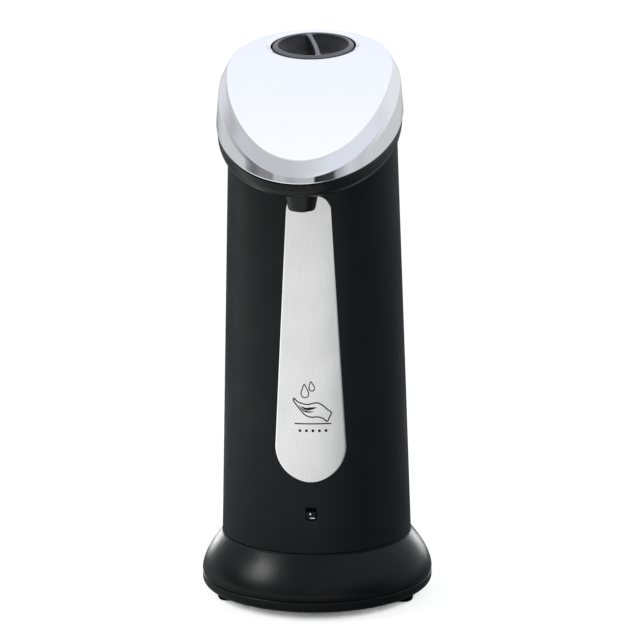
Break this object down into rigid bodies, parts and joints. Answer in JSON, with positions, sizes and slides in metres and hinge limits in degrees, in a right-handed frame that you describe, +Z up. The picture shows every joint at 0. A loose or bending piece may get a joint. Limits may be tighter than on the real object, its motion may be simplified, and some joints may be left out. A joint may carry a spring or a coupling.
{
  "type": "automatic soap dispenser",
  "caption": "Free-standing touch-free soap dispenser: tapered round body on a flared base, slanted oval head with nozzle, round filler cap and battery bay in the base.",
  "frame": {"origin": "on the standing surface, under the middle of the whole outline in X and Y; the round body axis lies 17.5 mm behind it", "axes": "+Z up, front with nozzle and plate towards -Y, +X to the right seen from the front"},
  "size_m": [0.081, 0.116, 0.195],
  "materials": {
    "black_case": "fine matte black ABS",
    "black_gloss": "polished black ABS",
    "chrome_cover": "mirror plating over ABS",
    "brushed_plate": "brushed lengthwise, bright",
    "steel": "plain zinc-plated",
    "rubber": "matte black",
    "frosted": "frosted natural polypropylene",
    "white_plastic": "natural white acetal",
    "silicone": "translucent silicone",
    "board": "green lacquered board",
    "cell": "printed sleeve",
    "brass": "machined",
    "red_lead": "PVC sheath",
    "black_lead": "PVC sheath",
    "lens": "infrared-clear dark lens"
  },
  "bodies": {
    "dispenser": {"body_sleeve": "black_case", "base_skirt": "black_case", "base_plate": "black_case", "battery_tray": "black_case", "switch_case": "black_case", "drive_deck": "black_case", "head_lower_shell": "black_case", "control_chip": "black_gloss", "head_cover": "chrome_cover", "front_plate": "brushed_plate", "base_screw_front_left": "steel", "base_screw_front_right": "steel", "base_screw_rear_left": "steel", "base_screw_rear_right": "steel", "motor_can": "steel", "motor_screw_1": "steel", "motor_screw_2": "steel", "pump_screw_1": "steel", "pump_screw_2": "steel", "pump_screw_3": "steel", "pump_screw_4": "steel", "pump_idler_pin": "steel", "battery_contact_front": "steel", "battery_contact_rear": "steel", "foot_front_left": "rubber", "foot_front_right": "rubber", "foot_rear_left": "rubber", "foot_rear_right": "rubber", "soap_tank": "frosted", "tank_lid": "frosted", "gear_bracket": "white_plastic", "pump_housing": "white_plastic", "pump_cover": "white_plastic", "sensor_ribbon": "white_plastic", "suction_tube": "silicone", "tank_gasket": "silicone", "nozzle_tip": "silicone", "delivery_hose": "silicone", "sensor_board": "board", "control_board": "board", "battery_1": "cell", "battery_2": "cell", "battery_3": "cell", "battery_4": "cell", "battery_lead_red": "red_lead", "motor_lead_red": "red_lead", "battery_lead_black": "black_lead", "motor_lead_black": "black_lead", "sensor_window": "lens", "receiver_led": "lens", "emitter_led": "lens"},
    "cap_stem": {"cap_plug": "black_gloss", "cap_seal": "silicone"},
    "cap_top": {"filler_cap": "black_gloss"},
    "door": {"battery_door": "black_case"},
    "switch": {"switch_knob": "white_plastic"},
    "pump_drive": {"drive_gear": "white_plastic", "pump_drive_rotor": "white_plastic"},
    "pump_idler": {"pump_idler_rotor": "white_plastic"},
    "pinion": {"motor_pinion": "brass"}
  },
  "joints": [
    {"name": "cap_lift", "type": "slide", "parent": "dispenser", "child": "cap_stem", "axis": [0, -0.1985, 0.9801], "range_m": [0, 0.03]},
    {"name": "cap_turn", "type": "hinge", "parent": "cap_stem", "child": "cap_top", "pos_m": [0, 0.0265, 0.19215], "axis": [0, -0.1985, 0.9801], "range_deg": [0, 90]},
    {"name": "door_swing", "type": "hinge", "parent": "dispenser", "child": "door", "pos_m": [0, 0.04145, 0.00415], "axis": [1, 0, 0], "range_deg": [0, 90]},
    {"name": "switch_slide", "type": "slide", "parent": "dispenser", "child": "switch", "axis": [1, 0, 0], "range_m": [0, 0.003]},
    {"name": "drive_spin", "type": "hinge", "parent": "dispenser", "child": "pump_drive", "pos_m": [-0.00558, 0.0155, 0.045], "axis": [0, 0, 1], "continuous": true},
    {"name": "pinion_spin", "type": "hinge", "parent": "dispenser", "child": "pinion", "pos_m": [-0.01414, 0.02407, 0.045], "axis": [0, 0, 1], "continuous": true},
    {"name": "idler_spin", "type": "hinge", "parent": "dispenser", "child": "pump_idler", "pos_m": [0.00558, 0.0155, 0.054], "axis": [0, 0, 1], "continuous": true}
  ],
  "couplings": [
    {"joint": "pinion_spin", "follows": "drive_spin", "ratio": -3},
    {"joint": "idler_spin", "follows": "drive_spin", "ratio": -1}
  ]
}
